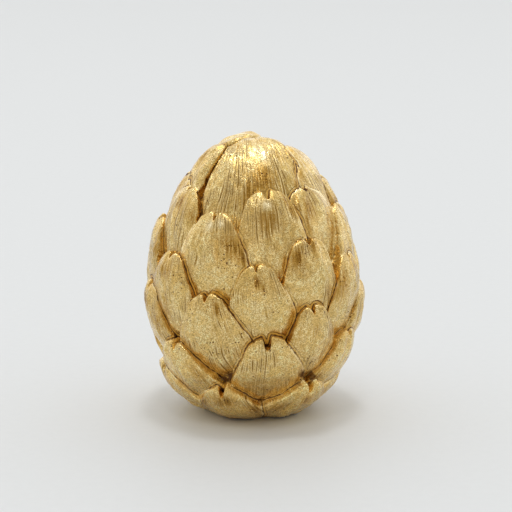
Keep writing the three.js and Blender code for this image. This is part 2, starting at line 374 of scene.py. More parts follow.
def outlineBract(rng, shape, x, y):
    # Fits a grid to the outline: x from -1 to 1 across, y from 0 at the tip to 1 at the root
    across = x + tooling["edgeCrowding"] * np.sin(math.pi * x) / math.pi
    row = y ** tooling["rowCurve"]
    ragged = softNoise(rng, across * 12, np.zeros_like(x), tooling["tipWobblePitch"])
    edge = topEdge(shape, across) + tooling["wobble"] * ragged * np.abs(across) ** 0.5
    down = edge + (shape["length"] - edge) * row
    uneven = softNoise(rng, np.sign(across) * 9, down, tooling["sideWobblePitch"])
    half = halfWidth(shape, down) + tooling["wobble"] * uneven
    fromEdge = np.minimum(down - edge, (1 - np.abs(across)) * half)
    return across, row, down, half, fromEdge


def carveRelief(rng, shape, across, down, fan, fromEdge):
    rim = np.clip(1 - fromEdge / tooling["rimRadius"], 0, 1)
    rounding = tooling["rimDrop"] * (1 - np.sqrt(1 - 0.98 * rim ** 2))
    lift = bractLift(shape, across, down) - rounding
    inner = np.clip(fromEdge / tooling["plainRim"], 0, 1)
    swells = softNoise(rng, fan, down * 0.6, tooling["undulationPitch"])
    lift += tooling["undulation"] * inner * swells
    lift += tooling["dents"] * inner * softNoise(rng, fan, down * 0.8, tooling["dentPitch"])
    flutes = np.sin(fan * 2.3 + np.sin(down / 3)) + 0.6 * np.sin(fan * 4.1 + 2)
    flutes *= np.exp(-((down / tooling["fluteReach"]) ** 2))
    lift += shape.get("flutes", 0) * inner * flutes
    knobAcross, knobDown, knobHalf, knobLong, knobLift = shape.get("knob", (0, 0, 1, 1, 0))
    knob = ((fan - knobAcross) / knobHalf) ** 4
    lift += knobLift * np.exp(-knob - ((down - knobDown) / knobLong) ** 4)
    cut = inner ** 0.5 * grooves(rng, shape, fan, down)
    return lift + cut, -cut


def wrapRound(shape, side, down):
    # Directions of the bract's points on a ball, which overBody fits to the body
    side, down = side / wrapRadius, down / wrapRadius
    if "past" in shape:
        fromTop = -shape["past"] / wrapRadius
    else:
        fromTop = wrapAngle(shape["tip"] * casting["bodyHeight"])
    turn = rotation("Z", math.radians(shape["angle"])) @ rotation("X", fromTop)
    turn = turn @ rotation("Z", math.radians(shape["lean"]))
    tip, below, aside = turn @ [0, 0, 1], turn @ [0, -1, 0], turn @ [1, 0, 0]
    lengthwise = np.cos(down)[:, None] * tip + np.sin(down)[:, None] * below
    return lengthwise * np.cos(side)[:, None] + np.sin(side)[:, None] * aside


def layBract(shape, number, x, y, inside):
    rng = np.random.default_rng(tooling["seed"] + number)
    across, row, down, half, fromEdge = outlineBract(rng, shape, x, y)
    fan = across * np.sqrt(half * tooling["fanWidth"])
    if "raysFrom" in shape:
        above = shape["raysFrom"]
        fan = across * half * (tooling["raysTrueAt"] + above) / (down + above)
    lift, cut = carveRelief(rng, shape, across, down, fan, fromEdge)

    # The inner sheet is smaller, so the wall under the lip leans in
    pull = np.where(inside, 1 - tooling["undercut"] / half, 1)
    deeper = np.where(inside, tooling["undercut"] * (1 - row), 0)
    lift = np.where(inside, -casting["rootDepth"], lift)
    placed = overBody(wrapRound(shape, across * pull * half, down + deeper), lift)

    stain = patchMask(rng, stainsAndGapShade, number, tooling["ownStains"], fan, down)
    comb = patchMask(rng, combs, number, tooling["ownCombs"], fan, down)
    # painted highlights, which go into the stain channel below 0
    rub = patchMask(rng, rubs, number, [], fan, down)
    return placed, fan, down, fromEdge, cut, stain - rub, comb


def allBracts():
    shapes = [{**commonBract, **own} for own in innermost]
    for ring in rings:
        for i in range(ring["count"]):
            own = dict(ring["strays"].get(i, {}))
            angle = ring["turn"] + 360 / ring["count"] * i + own.pop("by", 0)
            own.update(angle=angle, tip=ring["tip"] + own.pop("up", 0))
            shapes.append({**commonBract, **ring.get("shape", {}), **own})
    return shapes


def numbers(items, name, shape, kind=np.float64):
    values = np.empty(int(np.prod(shape)), dtype=kind)
    items.foreach_get(name, values)
    return values.reshape(shape)


def coordinates(mesh):
    return numbers(mesh.vertices, "co", (len(mesh.vertices), 3))


def cornerPairs(mesh, name):
    return numbers(mesh.uv_layers[name].data, "uv", (len(mesh.polygons), 3, 2))


def setCornerPairs(mesh, name, first, second):
    corner = numbers(mesh.loops, "vertex_index", len(mesh.loops), np.int64)
    layer = mesh.uv_layers.new(name=name)
    layer.data.foreach_set("uv", np.column_stack([first, second])[corner].ravel())


def setAttribute(mesh, name, values, kind="FLOAT", domain="POINT"):
    exact = {"FLOAT": np.float32, "INT": np.int32, "BOOLEAN": bool}[kind]
    made = mesh.attributes.new(name, kind, domain)
    made.data.foreach_set("value", np.asarray(values, dtype=exact))


def meshFrom(bm, name):
    mesh = bpy.data.meshes.new(name)
    bm.to_mesh(mesh)
    bm.free()
    return mesh


def intoScene(thing):
    bpy.context.scene.collection.objects.link(thing)


def bractTemplate(columns, rows):
    # A flat grid with a second sheet under it, joined round the edge
    bm = bmesh.new()
    bmesh.ops.create_grid(bm, x_segments=columns, y_segments=rows, size=1)
    made = bmesh.ops.extrude_face_region(bm, geom=bm.faces[:])
    lower = [v for v in made["geom"] if isinstance(v, bmesh.types.BMVert)]
    bmesh.ops.translate(bm, verts=lower, vec=(0, 0, -1))
    bmesh.ops.recalc_face_normals(bm, faces=bm.faces[:])
    bmesh.ops.triangulate(bm, faces=bm.faces[:], quad_method="BEAUTY", ngon_method="BEAUTY")
    return meshFrom(bm, "bractTemplate")


def carveBract(template, shape, number):
    mesh = template.copy()
    mesh.name = f"bract{number}"
    flat = coordinates(mesh)
    inside = flat[:, 2] < -0.5
    laid = layBract(shape, number, flat[:, 0], (1 - flat[:, 1]) / 2, inside)
    placed, fan, down, fromEdge, cut, stain, comb = laid
    mesh.vertices.foreach_set("co", (placed * mm).ravel())

    # Across and down the bract in centimetres, distance from the edge and depth of the tool's
    # cut in mm, and how stained (or, under 0, how strong a painted highlight) and how combed it is
    setCornerPairs(mesh, "lay", fan / 10 + tooling["layStep"] * number, down / 10)
    setCornerPairs(mesh, "rim", np.where(inside, 0, fromEdge), cut)
    setCornerPairs(mesh, "marksAndHighlights", stain, comb)
    setAttribute(mesh, "bract", np.full(len(mesh.polygons), number), "INT", "FACE")
    return bpy.data.objects.new(mesh.name, mesh)


def carveBody():
    bm = bmesh.new()
    bmesh.ops.create_uvsphere(
        bm, u_segments=tooling["bodySegments"], v_segments=tooling["bodyRings"], radius=1)
    for v in bm.verts:
        along = math.acos(max(-1, min(1, v.co.z))) * wrapRadius
        flat = v.co.xy.normalized() if v.co.xy.length > 1e-6 else Vector((0, 0))
        radius = float(np.interp(along, meridianAlong, meridianRadius))
        z = float(np.interp(along, meridianAlong, meridianZ))
        if along > meridianAlong[-2]:
            z = -casting["footStub"]
        place = Vector((flat.x * radius, flat.y * radius, z))
        inwards = (Vector((0, 0, widestZ)) - place).normalized()
        sunk = casting["coreSunk"] if z > 1 else 0  # not under the foot, which is cut flat
        v.co = (place + inwards * sunk) * mm
    bmesh.ops.triangulate(bm, faces=bm.faces[:])
    mesh = meshFrom(bm, "artichoke")
    for name in ("lay", "rim", "marksAndHighlights"):
        mesh.uv_layers.new(name=name)
    setAttribute(mesh, "bract", np.full(len(mesh.polygons), -1), "INT", "FACE")
    return bpy.data.objects.new("artichoke-cast", mesh)


def groundBlock(size=0.3):
    # A block, in metres, that takes away what lies under the floor
    bm = bmesh.new()
    bmesh.ops.create_cube(bm, size=size)
    bmesh.ops.translate(bm, verts=bm.verts[:], vec=(0, 0, -size / 2))
    return bpy.data.objects.new("ground", meshFrom(bm, "ground"))


def joinCasting():
    # The bracts are joined to the body in one union, and cut flat underneath
    shapes = allBracts()
    common = bractTemplate(tooling["columns"], tooling["rows"])
    broad = bractTemplate(tooling["budColumns"], tooling["budRows"])
    pile = bpy.data.collections.new("bracts")
    for number, shape in enumerate(shapes):
        pile.objects.link(carveBract(broad if number == 0 else common, shape, number))
    body, ground = carveBody(), groundBlock()
    intoScene(body)
    intoScene(ground)
    join = body.modifiers.new("join", "BOOLEAN")
    join.operation, join.solver = "UNION", "MANIFOLD"
    join.operand_type, join.collection = "COLLECTION", pile
    cut = body.modifiers.new("cut", "BOOLEAN")
    cut.operation, cut.solver, cut.object = "DIFFERENCE", "MANIFOLD", ground
    joined = body.evaluated_get(bpy.context.evaluated_depsgraph_get())
    whole = bpy.data.meshes.new_from_object(joined)
    body.modifiers.clear()
    body.data = whole
    for spare in [ground, *pile.objects]:
        bpy.data.objects.remove(spare)
    bpy.data.collections.remove(pile)

    bm = bmesh.new()
    bm.from_mesh(whole)
    bmesh.ops.triangulate(bm, faces=bm.faces[:])
    openEdges = sum(not e.is_manifold for e in bm.edges)
    bm.to_mesh(whole)
    bm.free()
    print("casting joined:", len(shapes), "bracts,", len(whole.polygons), "triangles,",
          openEdges, "open edges")
    return body, shapes


artichoke, bractShapes = joinCasting()

# How the seams between the bracts were left
seamWork = {
    "ownOpenness": (0.2, 1.0),  # for edges whose openness the rings don't give
    "topReach": 3.2,  # over this length a tip's openness gives way to its flanks'
    "unevenness": 0.24,
    "mostOpen": 1.2,
    "notchOpen": 1.5,
    "notchHalf": 1.5,
    "notchDown": 7,
    "trenchWidth": 1.1,
    "trenchDepth": 0.15,
    "retreat": 0.6,  # how far back the lip's edge gives way
    "meltWidth": 1.7,
    "meltPasses": 8,
    "meltPull": 0.7,
    "crispFrom": 0.35,  # seams more open than this have a sharp edge
    "sharpAngle": 55,
    "creviceReach": 5.0,  # the gold is told how far off the nearest seam is, up to this
    "hollowRays": 14,
    "hollowReach": 7.0,
    "hollowStart": 0.15,
}


def seamStrength(shapes, number, fan, down):
    # 0 where a bract melts into the one under it, 1 where it stands clear
    rng = np.random.default_rng(tooling["seed"] + 500 + number)
    sides = dict(zip(("left", "right", "top"), rng.uniform(*seamWork["ownOpenness"], 3)))
    sides.update({side: shapes[number][side] for side in sides if side in shapes[number]})
    across = np.clip(fan / 6 + 0.5, 0, 1)
    flank = sides["left"] * (1 - across) + sides["right"] * across
    atTop = np.clip(1.6 - down / seamWork["topReach"], 0, 1)
    uneven = np.sin(down / 1.9 + rng.uniform(0, 6)) * np.sin(down / 3.1 + fan / 5)
    uneven *= seamWork["unevenness"] * (flank > 0.05)
    strength = sides["top"] * atTop + flank * (1 - atTop) + uneven
    notch = seamWork["notchOpen"] * np.exp(-((fan / seamWork["notchHalf"]) ** 4))
    notch *= down < seamWork["notchDown"]
    return np.maximum(np.clip(strength, 0, seamWork["mostOpen"]), notch)


def findSeams(mesh, shapes):
    # Edges where two bracts meet: their ends, the upper bract, and how open they are
    triangles = numbers(mesh.polygons, "vertices", (len(mesh.polygons), 3), np.int64)
    owner = numbers(mesh.attributes["bract"].data, "value", len(triangles), np.int32)
    lay, rim = cornerPairs(mesh, "lay").mean(1) * 10, cornerPairs(mesh, "rim").mean(1)
    ends = np.concatenate([triangles[:, [0, 1]], triangles[:, [1, 2]], triangles[:, [2, 0]]])
    ends = np.sort(ends, axis=1)
    face = np.tile(np.arange(len(triangles)), 3)
    order = np.lexsort((ends[:, 1], ends[:, 0]))
    ends, face = ends[order][::2], face[order].reshape(-1, 2)
    meet = owner[face[:, 0]] != owner[face[:, 1]]
    ends, face = ends[meet], face[meet]

    # The face nearer its own lip is the upper one, and the body is always under a bract
    fromLip = rim[face, 0] + 99 * (owner[face] < 0)
    upper = np.where(fromLip[:, 0] <= fromLip[:, 1], face[:, 0], face[:, 1])
    above = owner[upper]
    strength = np.zeros(len(ends))
    for number in np.unique(above[above >= 0]):
        mine = above == number
        fan, down = lay[upper[mine]].T
        fan = fan - 10 * tooling["layStep"] * number
        strength[mine] = seamStrength(shapes, number, fan, down)
    return ends, above, strength


def nearestSeam(mesh, ends, tried=4):
    # For each vertex the nearest of the seams' edges, and how far off it lies in mm
    places = coordinates(mesh)
    starts, runs = places[ends[:, 0]], places[ends[:, 1]] - places[ends[:, 0]]
    tree = KDTree(len(ends))
    for i, place in enumerate(starts + runs / 2):
        tree.insert(place, i)
    tree.balance()
    found = np.array([[hit[1] for hit in tree.find_n(v.co, tried)] for v in mesh.vertices])
    start, run = starts[found], runs[found]
    share = ((places[:, None] - start) * run).sum(2) / np.maximum((run ** 2).sum(2), 1e-18)
    nearest = start + np.clip(share, 0, 1)[:, :, None] * run
    off = np.linalg.norm(places[:, None] - nearest, axis=2)
    return found[np.arange(len(places)), off.argmin(1)], off.min(1) / mm


def smoothStep(value, low, high):
    share = np.clip((value - low) / (high - low), 0, 1)
    return share * share * (3 - 2 * share)


def meltTogether(mesh, places, melt):
    # Draws each vertex towards the middle of its neighbours
    ends = numbers(mesh.edges, "vertices", (len(mesh.edges), 2), np.int64)
    near, far = ends.ravel(), ends[:, ::-1].ravel()
    count = np.bincount(near, minlength=len(places))
    for _ in range(seamWork["meltPasses"]):
        total = np.column_stack([
            np.bincount(near, weights=places[far, axis], minlength=len(places))
            for axis in range(3)
        ])
        places = places + (total / count[:, None] - places) * melt[:, None]
    return places


def markCrisp(mesh, seams):
    # The edges along open seams are kept sharp
    ends = numbers(mesh.edges, "vertices", (len(mesh.edges), 2), np.int64)
    key = [len(mesh.vertices), 1]
    crisp = np.isin(np.sort(ends, axis=1) @ key, seams @ key)
    setAttribute(mesh, "crisp", crisp, "BOOLEAN", "EDGE")


def workSeams(mesh, shapes):
    # Open seams become little trenches under the lip, and soft ones are melted together
    ends, above, strength = findSeams(mesh, shapes)
    seam, distance = nearestSeam(mesh, ends)
    openness = strength[seam]
    corners = numbers(mesh.polygons, "vertices", len(mesh.polygons) * 3, np.int64)
    faceOwner = numbers(mesh.attributes["bract"].data, "value", len(mesh.polygons), np.int32)
    owner = np.zeros(len(mesh.vertices), dtype=np.int32)
    owner[corners] = np.repeat(faceOwner, 3)
    normals = numbers(mesh.vertices, "normal", (len(mesh.vertices), 3))
    width = seamWork["trenchWidth"]
    trench = smoothStep(distance, width * 1.4, width * 0.8)
    retreat = np.exp(-((distance / seamWork["retreat"]) ** 2))
    inwards = seamWork["trenchDepth"] * openness
    inwards = inwards * np.where(owner != above[seam], trench, retreat)
    places = coordinates(mesh) - normals * (inwards * mm)[:, None]

    melt = np.maximum(1 - openness, 0) ** 2
    melt *= np.exp(-((distance / seamWork["meltWidth"]) ** 2))
    melt[places[:, 2] < 0.3 * mm] = 0  # the underside stays flat
    places = meltTogether(mesh, places, seamWork["meltPull"] * melt)
    mesh.vertices.foreach_set("co", places.ravel())
    mesh.update()

    setAttribute(mesh, "crevice", np.clip(distance / seamWork["creviceReach"], 0, 1))
    setAttribute(mesh, "openness", openness)
    under = (faceOwner[:, None] != above[seam[corners]].reshape(-1, 3)).mean(1) > 0.5
    setAttribute(mesh, "beneath", under, "FLOAT", "FACE")
    markCrisp(mesh, ends[strength > seamWork["crispFrom"]])
    print("seams worked:", len(ends), "edges, mean openness", openness.mean().round(2))


def shadeHollows(mesh):
    # How much of the sky a point can't see within a few millimetres
    surface = BVHTree.FromPolygons(
        [v.co for v in mesh.vertices], [p.vertices for p in mesh.polygons])
    rng = np.random.default_rng(tooling["seed"])
    rays = [Vector(ray).normalized() for ray in rng.normal(size=(seamWork["hollowRays"], 3))]
    reach = seamWork["hollowReach"] * mm
    hollow = np.empty(len(mesh.vertices))
    for i, v in enumerate(mesh.vertices):
        start = v.co + v.normal * seamWork["hollowStart"] * mm
        hidden = 0.0
        for ray in rays:  # spread over the half that the surface faces, most along its normal
            distance = surface.ray_cast(start, (v.normal * 1.02 + ray).normalized(), reach)[3]
            if distance is not None:
                hidden += 1 - distance / reach
        hollow[i] = hidden / len(rays)
    setAttribute(mesh, "hollow", hollow)
    print("hollows shaded: mean", hollow.mean().round(3))


def smoothFaces(mesh):
    mesh.shade_smooth()
    mesh.set_sharp_from_angle(angle=math.radians(seamWork["sharpAngle"]))
    sharp = numbers(mesh.attributes["sharp_edge"].data, "value", len(mesh.edges), bool)
    crisp = numbers(mesh.attributes["crisp"].data, "value", len(mesh.edges), bool)
    mesh.attributes["sharp_edge"].data.foreach_set("value", sharp | crisp)


workSeams(artichoke.data, bractShapes)
shadeHollows(artichoke.data)
smoothFaces(artichoke.data)

# The gold, the brown glaze that was wiped off it, and the colours of painted highlights,
# glow and shade
gilding = {
    "pale": (0.89, 0.63, 0.24, 1),
    "warm": (0.84, 0.57, 0.18, 1),
    "olive": (0.75, 0.535, 0.165, 1),
    # bright flecks of the leaf, also the painted highlight on lips and ridges
    "fleckAndHighlight": (1.0, 0.82, 0.44, 1),
    # the colour of the painted highlights
    "rubbed": (1.0, 0.88, 0.58, 1),
    "brown": (0.52, 0.36, 0.12, 1),
    "glaze": (0.62, 0.35, 0.05, 1),
    # a painted glow for the glaze in hollows
    "paintedGlowAmber": (1.0, 0.58, 0.08, 1),
    "line": (0.30, 0.16, 0.025, 1),
    "stain": (0.46, 0.24, 0.03, 1),
    # dark marks, and painted shade in cracks, deep hollows and gaps
    "soot": (0.10, 0.03, 0.005, 1),
    "roughness": (0.20, 0.33),  # of the smoothest and the dullest leaf
    "glazeDulls": 0.14,
    "rubbingShines": 0.06,
    "lacquer": 0.3,
    "lacquerRoughness": 0.12,
    "combPitch": 0.2,  # in centimetres
    "combSway": 3.0,  # how many lines wide the comb's course wanders
    "facetScale": 3400,  # facets under half a millimetre across
    "facetRelief": 16,
    "grain": (0.72, 1.14),  # the darkest and the lightest facet of the leaf
    "pitScale": 950,
    "paintedFootLight": 1.25,  # painted light: the lowest bracts are made brighter
    "paintedFootLightHeight": 0.042,
    "footGlazeAndShade": 0.2,  # and glaze towards the floor, partly painted shade
    "footGlazeAndShadeHeight": 0.032,
    "lineReach": (0.35, 1.8),  # mm of glaze beside a closed seam and an open notch
    "haloReach": 4.6,
    "grooveAway": 1.35,  # mm from a seam to the dark line where its trench ends
}
# Noise over the whole casting: scale, detail and roughness
spread = {
    "patches": (110, 2.0, 0.5),
    "mottle": (330, 1.0, 0.5),
    "leafGrain": (2600, 2.0, 0.6),
    "wander": (520, 2.0, 0.5),
    "greening": (75, 2.0, 0.5),
    "clusters": (95, 1.0, 0.5),
}
# Noise that follows each bract: scale across and down it, then the same
drawn = {
    "ribs": (6.0, 0.5, 2.0, 0.5),
    "threads": (14.0, 0.9, 2.0, 0.5),
    "dashes": (18.0, 7.0, 3.0, 0.6),
    "strokes": (6.5, 0.5, 1.0, 0.5),
    "broken": (2.4, 1.3, 2.0, 0.5),
    "combing": (0.9, 0.7, 1.0, 0.5),
    "sway": (1.4, 0.5, 1.0, 0.5),
}


def addNode(tree, kind, inputs=None, **settings):
    made = tree.nodes.new(kind)
    for name, value in settings.items():
        setattr(made, name, value)
    for name, value in (inputs or {}).items():
        if isinstance(value, bpy.types.NodeSocket):
            tree.links.new(value, made.inputs[name])
        else:
            made.inputs[name].default_value = value
    return made


def calc(tree, operation, a, b=0.0):
    return addNode(tree, "ShaderNodeMath", {0: a, 1: b}, operation=operation).outputs[0]


def chain(tree, operation, first, *others):
    for value in others:
        first = calc(tree, operation, first, value)
    return first


def times(tree, *values):
    return chain(tree, "MULTIPLY", *values)


def most(tree, *values):
    return chain(tree, "MAXIMUM", *values)


def plus(tree, *values):
    return chain(tree, "ADD", *values)


def awayFrom(tree, value, middle):
    return calc(tree, "ABSOLUTE", calc(tree, "SUBTRACT", value, middle))


def weighted(tree, *parts):
    return plus(tree, *[times(tree, value, weight) for value, weight in parts])


def remap(tree, value, low, high, start=0.0, end=1.0):
    inputs = {"Value": value, "From Min": low, "From Max": high, "To Min": start, "To Max": end}
    return addNode(tree, "ShaderNodeMapRange", inputs).outputs[0]


def xyz(tree, vector):
    return addNode(tree, "ShaderNodeSeparateXYZ", {0: vector}).outputs


def vectors(tree, operation, a, b):
    return addNode(tree, "ShaderNodeVectorMath", {0: a, 1: b}, operation=operation).outputs


def noise(tree, where, scale, detail=2.0, rough=0.5):
    inputs = {"Vector": where, "Scale": scale, "Detail": detail, "Roughness": rough}
    return addNode(tree, "ShaderNodeTexNoise", inputs).outputs["Fac"]


def blendColour(tree, factor, a, b):
    return addNode(tree, "ShaderNodeMix", {0: factor, 6: a, 7: b}, data_type="RGBA").outputs[2]


def layMap(tree, name):
    return addNode(tree, "ShaderNodeUVMap", uv_map=name).outputs[0]


def blankMaterial(name):
    material = bpy.data.materials.new(name)
    material.use_nodes = True
    material.node_tree.nodes.clear()
    return material, material.node_tree


def finishMaterial(tree, surface):
    shader = addNode(tree, "ShaderNodeBsdfPrincipled", surface)
    addNode(tree, "ShaderNodeOutputMaterial", {"Surface": shader.outputs[0]})


def patternsOn(tree):
    # What every layer of the finish is drawn with: places, the mesh's own marks, and noise
    lay = layMap(tree, "lay")
    place = addNode(tree, "ShaderNodeTexCoord").outputs["Object"]
    on = {"lay": lay, "place": place, "height": xyz(tree, place)[2]}
    on["cut"] = xyz(tree, layMap(tree, "rim"))[1]
    on["stain"], on["comb"] = xyz(tree, layMap(tree, "marksAndHighlights"))[:2]
    for name in ("crevice", "hollow", "openness", "beneath"):
        on[name] = addNode(tree, "ShaderNodeAttribute", attribute_name=name).outputs["Fac"]
    for name, setting in spread.items():
        on[name] = noise(tree, place, *setting)
    for name, (across, down, detail, rough) in drawn.items():
        stretched = addNode(tree, "ShaderNodeMapping", {"Vector": lay, "Scale": (across, down, 1)})
        on[name] = noise(tree, stretched.outputs[0], 1.0, detail, rough)
    away = times(tree, on["crevice"], seamWork["creviceReach"])  # mm from the nearest seam
    on["away"] = plus(tree, away, remap(tree, on["wander"], 0.3, 0.7, -0.2, 0.25))
    return SimpleNamespace(**on)


def combMarks(tree, on):
    # Threads and loose strokes down the bract, and in combed places ruled lines with ridges,
    # which get a painted highlight
    combed = remap(tree, on.combing, 0.48, 0.70, 0.08, 0.8)
    combed = most(tree, combed, remap(tree, on.comb, 0.0, 0.6))
    lines = times(tree, calc(tree, "SUBTRACT", on.threads, 0.5), combed)
    stroke = remap(tree, awayFrom(tree, on.strokes, 0.5), 0.05, 0.12, 1.0, 0.0)
    stroke = times(tree, stroke, combed, remap(tree, on.broken, 0.38, 0.52))
    course = calc(tree, "DIVIDE", xyz(tree, on.lay)[0], gilding["combPitch"])
    course = plus(tree, course, times(tree, on.sway, gilding["combSway"]))
    course = awayFrom(tree, calc(tree, "FRACT", course), 0.5)
    ruling = times(tree, remap(tree, combed, 0.2, 0.6), remap(tree, on.broken, 0.40, 0.50))
    ruled = times(tree, remap(tree, course, 0.06, 0.12, 1.0, 0.0), ruling)
    ridge = remap(tree, awayFrom(tree, course, 0.24), 0.04, 0.10, 1.0, 0.0)
    return lines, stroke, ruled, times(tree, ridge, ruling)


def leafFacets(tree, on):
    # The leaf is crumpled into small facets, each with its own tint and tilt
    cells = {"Vector": on.place, "Scale": gilding["facetScale"]}
    facets = addNode(tree, "ShaderNodeTexVoronoi", cells).outputs
    within = vectors(tree, "SUBTRACT", on.place, facets["Position"])[0]
    slope = vectors(tree, "SUBTRACT", facets["Color"], (0.5, 0.5, 0.5))[0]
    return xyz(tree, facets["Color"])[0], vectors(tree, "DOT_PRODUCT", within, slope)["Value"]


def pitMarks(tree, on):
    # Pits are a few of the cells of a Voronoi pattern, in clusters and in stains
    cells = {"Vector": on.place, "Scale": gilding["pitScale"]}
    cells = addNode(tree, "ShaderNodeTexVoronoi", cells).outputs
    chosen = weighted(tree, (xyz(tree, cells["Color"])[0], 1.0), (on.stain, 0.3))
    pit = remap(tree, cells["Distance"], 0.22, 0.34, 1.0, 0.0)
    pit = times(tree, pit, remap(tree, chosen, 0.76, 0.80))
    cluster = most(tree, remap(tree, on.clusters, 0.50, 0.64), remap(tree, on.stain, 0.1, 0.5))
    return times(tree, pit, cluster)


def glazeFilm(tree, on):
    # A line of glaze along the seams, a halo round it, and some in hollows, cuts and towards the
    # foot, where it is partly painted shade
    reach = remap(tree, on.openness, 0.0, 1.5, *gilding["lineReach"])
    line = remap(tree, calc(tree, "DIVIDE", on.away, reach), 0.82, 1.0, 1.0, 0.0)
    line = times(tree, line, remap(tree, on.openness, 0.0, 0.6, 0.3, 0.9))
    line = times(tree, line, remap(tree, on.beneath, 0.0, 1.0, 0.1, 1.0))
    halo = remap(tree, on.away, 0.4, gilding["haloReach"], 0.6, 0.0)
    halo = times(tree, halo, remap(tree, on.patches, 0.35, 0.62, 0.1, 1.0))
    halo = times(tree, halo, remap(tree, on.openness, 0.0, 1.0, 0.35, 1.0))
    deep = remap(tree, on.hollow, 0.45, 0.90, 0.0, 0.7)
    deep = times(tree, deep, remap(tree, on.beneath, 0.0, 1.0, 0.4, 1.0))
    inCuts = remap(tree, on.cut, 0.04, 0.2)
    inCuts = times(tree, inCuts, remap(tree, on.mottle, 0.35, 0.6, 0.1, 0.5))
    # towards the foot: glaze, and partly painted shade
    foot = remap(tree, on.height, gilding["footGlazeAndShadeHeight"], 0.0, 0.0, gilding["footGlazeAndShade"])
    foot = times(tree, foot, remap(tree, on.mottle, 0.35, 0.6, 0.5, 1.2))
    return calc(tree, "MINIMUM", most(tree, line, halo, deep, inCuts, foot), 1.0)


def stainBlotch(tree, on):
    # Glaze left on thick, broken up by the threads and the leaf's grain
    speckle = remap(tree, on.threads, 0.60, 0.42, 0.35, 1.35)
    speckle = times(tree, speckle, remap(tree, on.leafGrain, 0.60, 0.44, 0.6, 1.15), 1.3)
    return times(tree, calc(tree, "POWER", most(tree, on.stain, 0.0), 0.5), speckle)


def sootMask(tree, on):
    # Nearly black: the crack under an open lip, partly dark glaze and partly painted shade, the
    # line where its trench ends, painted shade in deep hollows, pits, and the middle of the
    # thickest stains, which are listed at more than full strength and paint shade into gaps
    inward = plus(tree, on.away, remap(tree, on.beneath, 0.0, 1.0, 0.3, 0.0))
    inward = calc(tree, "DIVIDE", inward, remap(tree, on.openness, 1.2, 1.35, 1.0, 3.6))
    # the crack: dark glaze and painted shade under an open lip
    crack = remap(tree, inward, 0.32, 0.42, 1.0, 0.0)
    crack = times(tree, crack, remap(tree, on.openness, 0.15, 0.5))
    groove = awayFrom(tree, on.away, gilding["grooveAway"])
    groove = remap(tree, groove, 0.13, 0.20, 0.9, 0.0)
    groove = times(tree, groove, on.beneath, on.openness)
    # painted shade in deep hollows
    hole = times(tree, remap(tree, on.hollow, 0.70, 0.90, 0.0, 0.95), on.openness)
    caked = remap(tree, on.blotch, 0.8, 1.5, 0.0, 0.7)
    # painted shade in the gaps where stains are listed over full strength
    paintedGapShade = remap(tree, on.stain, 1.0, 1.35, 0.0, 0.9)
    return times(tree, most(tree, crack, groove, hole, caked, paintedGapShade, on.pit), 0.95)


def leafColour(tree, on):
    # Patches of three golds, browner and brighter in the fine grain, brighter towards the foot
    # as painted light, and with a painted highlight on the comb's ridges
    leaf = weighted(tree, (on.mottle, 0.55), (on.patches, 0.35), (on.ribs, 0.1))
    leaf = remap(tree, leaf, 0.38, 0.60)
    gold = blendColour(tree, leaf, gilding["warm"], gilding["pale"])
    greenish = times(tree, remap(tree, on.greening, 0.5, 0.68), 0.6)
    gold = blendColour(tree, greenish, gold, gilding["olive"])
    dim = remap(tree, on.fine, 0.72, 0.48, 0.0, 0.75)
    gold = blendColour(tree, dim, gold, gilding["brown"])
    bright = remap(tree, on.fine, 0.74, 0.86)
    bright = times(tree, bright, remap(tree, on.mottle, 0.42, 0.56, 0.3, 1.0))
    gold = blendColour(tree, bright, gold, gilding["fleckAndHighlight"])
    # painted light: brighter towards the foot
    paintedFootBrightening = remap(tree, on.height, 0.0, gilding["paintedFootLightHeight"], gilding["paintedFootLight"], 1.0)
    grain = times(tree, remap(tree, on.tint, 0.0, 1.0, *gilding["grain"]), paintedFootBrightening)
    shaded = {0: gold, "Scale": grain}
    gold = addNode(tree, "ShaderNodeVectorMath", shaded, operation="SCALE").outputs[0]
    # a painted highlight on the comb's ridges
    return blendColour(tree, times(tree, on.ridge, 0.8), gold, gilding["fleckAndHighlight"])


def agedColour(tree, on):
    # Over the leaf: lines and stains, the film of glaze with a painted glow in the hollows, the
    # lips, partly worn and partly a painted highlight, the painted highlights, and the dark marks
    # with painted shade
    marked = most(tree, on.strike, remap(tree, on.lines, -0.03, -0.12, 0.0, 0.3))
    gold = blendColour(tree, marked, leafColour(tree, on), gilding["line"])
    stained = calc(tree, "MINIMUM", on.blotch, 0.9)
    gold = blendColour(tree, stained, gold, gilding["stain"])
    # painted glow: the glaze turns a brighter amber in the hollows
    paintedHollowGlow = remap(tree, on.hollow, 0.2, 0.6)
    film = blendColour(tree, paintedHollowGlow, gilding["glaze"], gilding["paintedGlowAmber"])
    gold = blendColour(tree, on.glaze, gold, film)
    # the lip: partly worn gold, partly a painted highlight
    lip = remap(tree, on.away, 0.45, 0.9, 0.9, 0.0)
    lip = times(tree, lip, remap(tree, on.beneath, 0.0, 1.0, 1.0, 0.0))
    lip = times(tree, lip, remap(tree, on.mottle, 0.35, 0.6, 0.4, 1.0))
    gold = blendColour(tree, lip, gold, gilding["fleckAndHighlight"])
    # painted highlights
    gold = blendColour(tree, on.rub, gold, gilding["rubbed"])
    # dark marks and painted shade
    return blendColour(tree, on.soot, gold, gilding["soot"])


def agedRoughness(tree, on):
    smooth, dull = gilding["roughness"]
    rough = remap(tree, on.mottle, 0.35, 0.65, dull, smooth)
    rough = plus(tree, rough, times(tree, on.glaze, gilding["glazeDulls"]))
    return plus(tree, rough, times(tree, on.rub, -gilding["rubbingShines"]))


def leafRelief(tree, on):
    return weighted(
        tree, (on.ribs, 0.16), (on.lines, 0.16), (on.stroke, -0.08), (on.ruled, -0.12),
        (on.ridge, 0.05), (on.mottle, 0.13), (on.dashes, 0.09), (on.leafGrain, 0.05),
        (on.pit, -0.12), (on.patches, 0.3), (on.facet, gilding["facetRelief"]),
    )


